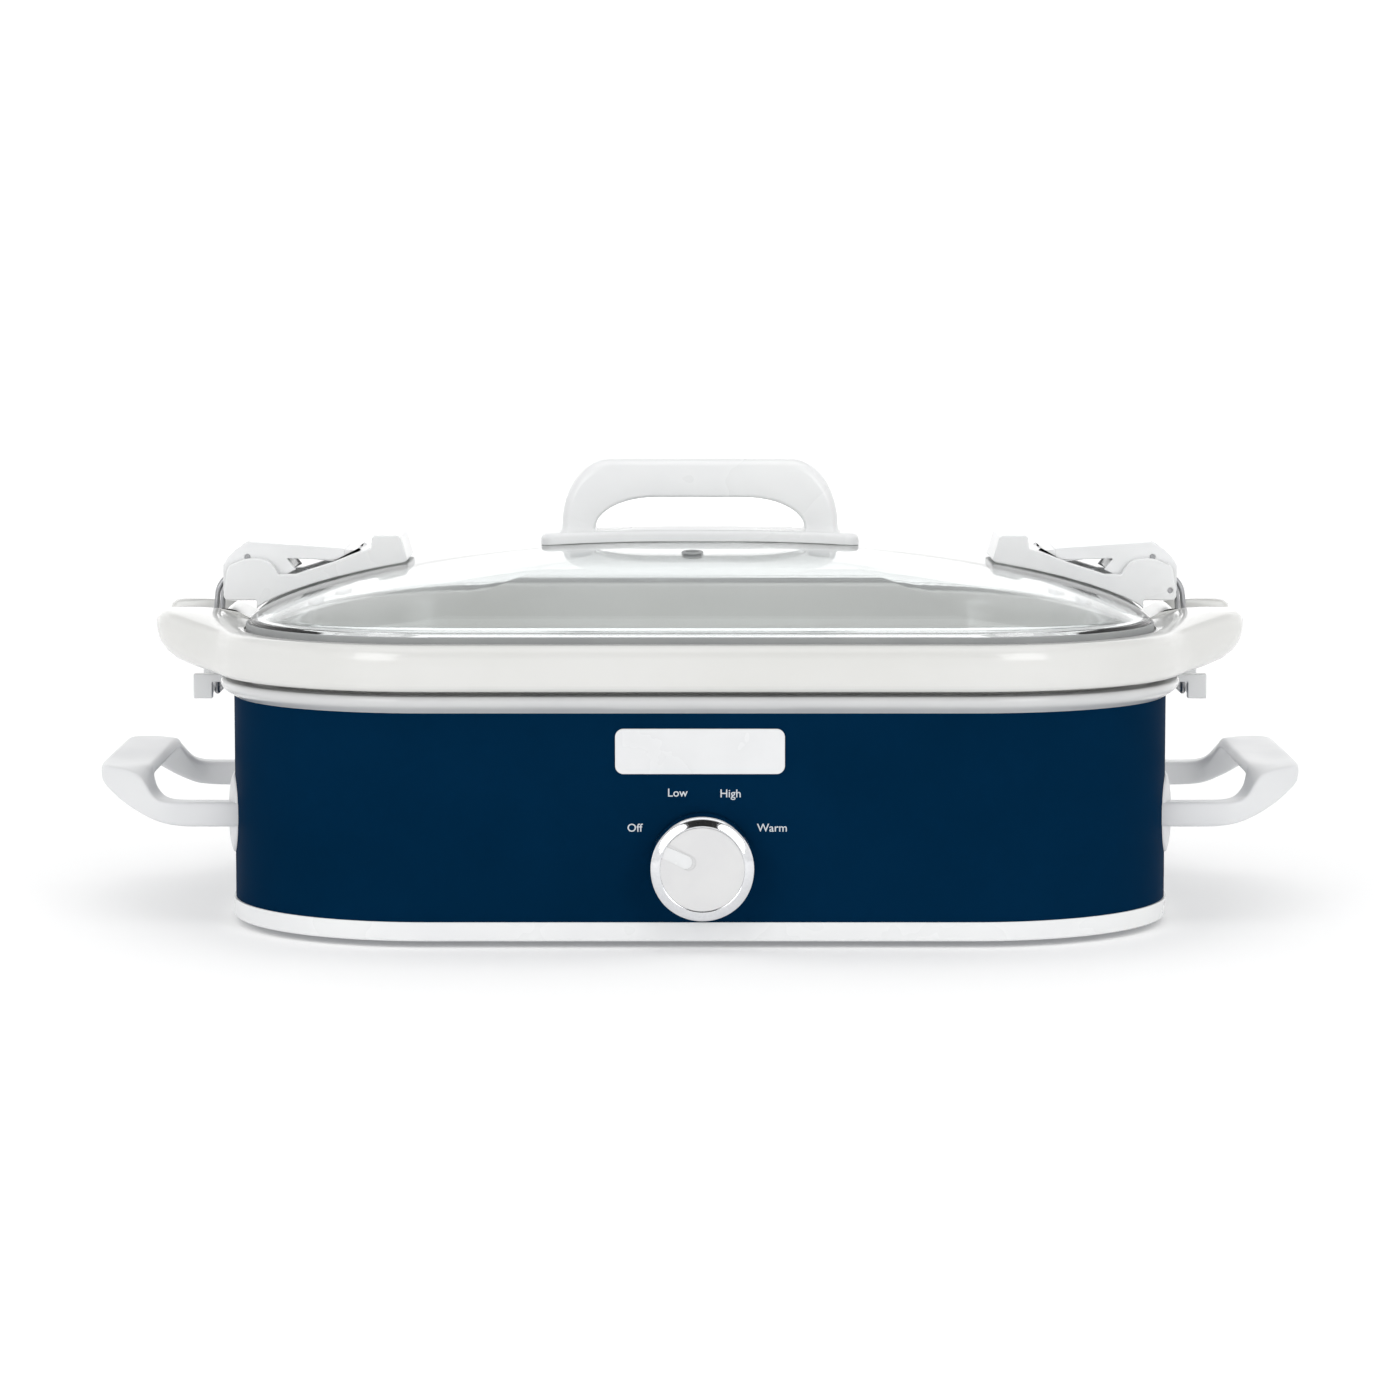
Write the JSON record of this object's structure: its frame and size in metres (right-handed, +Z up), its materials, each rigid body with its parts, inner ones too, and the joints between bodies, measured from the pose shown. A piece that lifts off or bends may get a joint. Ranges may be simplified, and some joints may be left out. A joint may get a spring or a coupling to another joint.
{
  "type": "slow cooker",
  "caption": "Rectangular slow cooker: stoneware crock in a heated metal body, domed glass lid held by over-centre wire latches, side handles and a rotary heat switch.",
  "frame": {"origin": "centre of the underside of the feet, on the table", "axes": "+X along the length towards the right-hand side handle, -Y out of the front with the knob, +Z up"},
  "size_m": [0.489, 0.304, 0.1845],
  "materials": {
    "navy_shell": "satin",
    "white_plastic": "gloss",
    "white_ring": "gloss",
    "white_plate": "gloss",
    "zinc_plate": "zinc",
    "rubber": "matte",
    "steel_screw": "zinc",
    "aluminised_well": "satin",
    "heater_mica": "matte",
    "insulation": "fibrous",
    "switch_plastic": "matte",
    "shaft_steel": "turned",
    "chrome_knob": "polished",
    "black_plastic": "matte",
    "lead_insulation": "matte",
    "white_glaze": "gloss",
    "clear_glass": "clear",
    "silicone_gasket": "satin",
    "steel_pin": "drawn",
    "steel_wire": "drawn"
  },
  "bodies": {
    "base": {"base_trim": "white_plastic", "bottom_plate": "zinc_plate", "bottom_screws": "steel_screw", "catch_rivets": "steel_screw", "centre_screw": "steel_screw", "centre_standoff": "zinc_plate", "cord_gland": "black_plastic", "fuse_clip": "zinc_plate", "handle_pad_left": "white_plastic", "handle_pad_right": "white_plastic", "handle_screws": "steel_screw", "heater_band": "heater_mica", "heating_well": "aluminised_well", "insulation_blanket": "insulation", "internal_leads": "lead_insulation", "latch_catch_left": "white_ring", "latch_catch_right": "white_ring", "name_plate": "white_plate", "outer_shell": "navy_shell", "rim_ring": "white_ring", "rotary_switch": "switch_plastic", "rubber_feet": "rubber", "side_handle_left": "white_plastic", "side_handle_right": "white_plastic", "switch_nut": "steel_screw", "terminal_block": "switch_plastic", "thermal_fuse": "steel_screw"},
    "crock": {"crock": "white_glaze"},
    "lid": {"latch_bracket_left": "white_plastic", "latch_bracket_right": "white_plastic", "latch_nuts": "steel_screw", "latch_screws": "steel_screw", "lever_pin_left": "steel_pin", "lever_pin_right": "steel_pin", "lid_gasket": "silicone_gasket", "lid_glass": "clear_glass", "lid_handle": "white_plastic", "lid_handle_screws": "steel_screw", "lid_handle_washers": "silicone_gasket", "steam_vent": "silicone_gasket"},
    "lever_left": {"latch_lever_left": "white_plastic"},
    "lever_right": {"latch_lever_right": "white_plastic"},
    "bail_left": {"wire_bail_left": "steel_wire"},
    "bail_right": {"wire_bail_right": "steel_wire"},
    "knob": {"knob_body": "chrome_knob", "knob_face": "white_plastic", "switch_shaft": "shaft_steel"}
  },
  "joints": [
    {"name": "crock_lift", "type": "slide", "parent": "base", "child": "crock", "axis": [0, 0, 1], "range_m": [0, 0.06]},
    {"name": "lid_lift", "type": "slide", "parent": "crock", "child": "lid", "axis": [0, 0, 1], "range_m": [0, 0.06]},
    {"name": "lever_right_hinge", "type": "hinge", "parent": "lid", "child": "lever_right", "pos_m": [0.194, 0, 0.1308], "axis": [0, 1, 0], "range_deg": [0, 110]},
    {"name": "lever_left_hinge", "type": "hinge", "parent": "lid", "child": "lever_left", "pos_m": [-0.194, 0, 0.1308], "axis": [0, -1, 0], "range_deg": [0, 110]},
    {"name": "bail_right_pivot", "type": "hinge", "parent": "lever_right", "child": "bail_right", "pos_m": [0.1871, 0, 0.1443], "axis": [0, 1, 0], "range_deg": [-82, 0]},
    {"name": "bail_left_pivot", "type": "hinge", "parent": "lever_left", "child": "bail_left", "pos_m": [-0.1871, 0, 0.1443], "axis": [0, -1, 0], "range_deg": [-82, 0]},
    {"name": "knob_turn", "type": "hinge", "parent": "base", "child": "knob", "pos_m": [0.0009, -0.1365, 0.0333], "axis": [0, 1, 0], "range_deg": [0, 126]}
  ],
  "couplings": [
    {"joint": "bail_right_pivot", "follows": "lever_right_hinge", "ratio": -0.74},
    {"joint": "bail_left_pivot", "follows": "lever_left_hinge", "ratio": -0.74}
  ]
}
